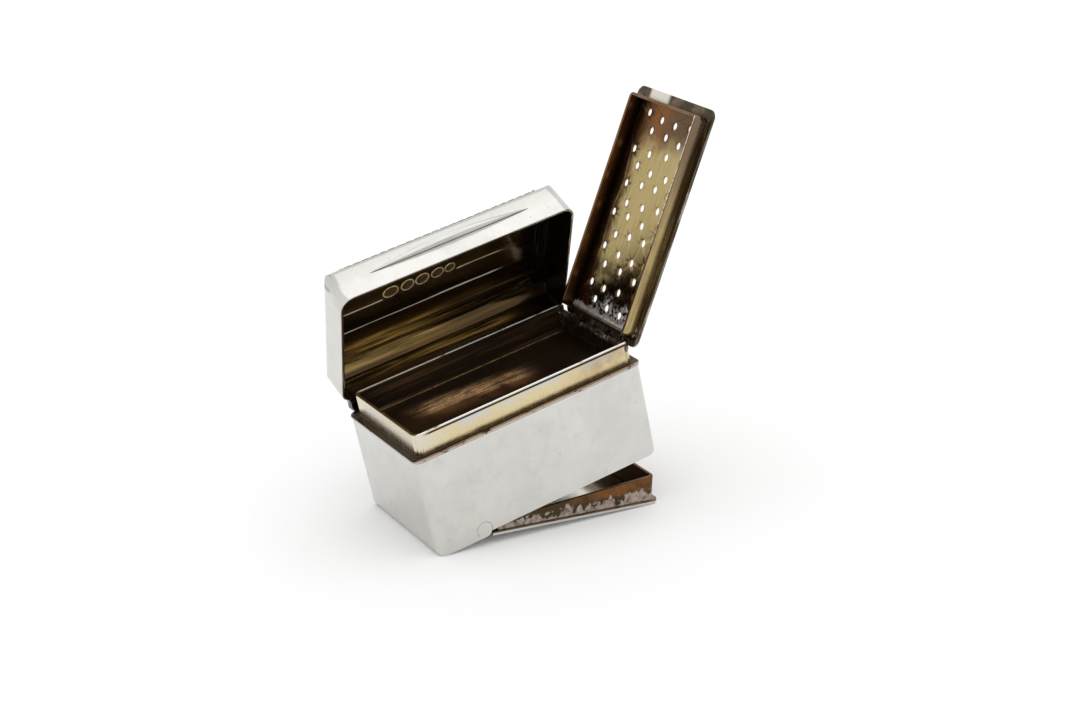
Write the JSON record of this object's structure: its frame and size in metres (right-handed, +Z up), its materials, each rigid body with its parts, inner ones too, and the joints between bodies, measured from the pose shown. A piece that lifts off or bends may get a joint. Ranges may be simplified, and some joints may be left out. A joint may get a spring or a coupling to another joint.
{
  "type": "vinaigrette",
  "caption": "Small oblong silver box with a hinged domed lid, a hinged pierced grille over a gilt compartment, and a hinged base cover under a second compartment.",
  "frame": {"origin": "on the table, under the middle of the open box's bounding box", "axes": "+X along the box towards the grille's hinge, +Y towards the lid's hinge, +Z up from the table"},
  "size_m": [0.0524, 0.025, 0.056],
  "materials": {
    "polished_silver": "polished, finely scratched",
    "worn_silver": "worn and tarnished",
    "pale_gilt": "worn pale gilding",
    "dark_gilt": "tarnished gilding",
    "grille_gilt": "worn gilding with tarnish"
  },
  "bodies": {
    "case": {"body_walls": "polished_silver", "fixed_base_plate": "polished_silver", "ledge": "worn_silver", "bezel": "pale_gilt", "compartment_floor": "dark_gilt", "lid_hinge_case_knuckles": "polished_silver", "lid_hinge_pin": "worn_silver", "grille_hinge_bezel_knuckles": "dark_gilt", "grille_hinge_pin": "worn_silver", "base_hinge_case_knuckles": "polished_silver", "base_hinge_pin": "worn_silver"},
    "lid": {"lid_shell": "polished_silver", "thumbpiece": "polished_silver", "lid_hinge_lid_knuckles": "polished_silver"},
    "grille": {"grille_plate": "grille_gilt", "grille_walls": "grille_gilt", "grille_hinge_plate_knuckles": "grille_gilt"},
    "base_cover": {"cover_plate": "polished_silver", "cover_walls": "dark_gilt", "base_hinge_cover_knuckles": "polished_silver"}
  },
  "joints": [
    {"name": "lid_hinge", "type": "hinge", "parent": "case", "child": "lid", "pos_m": [-0.00391, 0.00975, 0.01912], "axis": [-0.9768, 0, -0.2141], "range_deg": [0, 40]},
    {"name": "grille_hinge", "type": "hinge", "parent": "case", "child": "grille", "pos_m": [0.01224, -0.0021, 0.02414], "axis": [0, 1, 0], "range_deg": [-1, 20]},
    {"name": "base_cover_hinge", "type": "hinge", "parent": "case", "child": "base_cover", "pos_m": [-0.01101, -0.0021, 0.00246], "axis": [0, 1, 0], "range_deg": [-15, 74]}
  ]
}
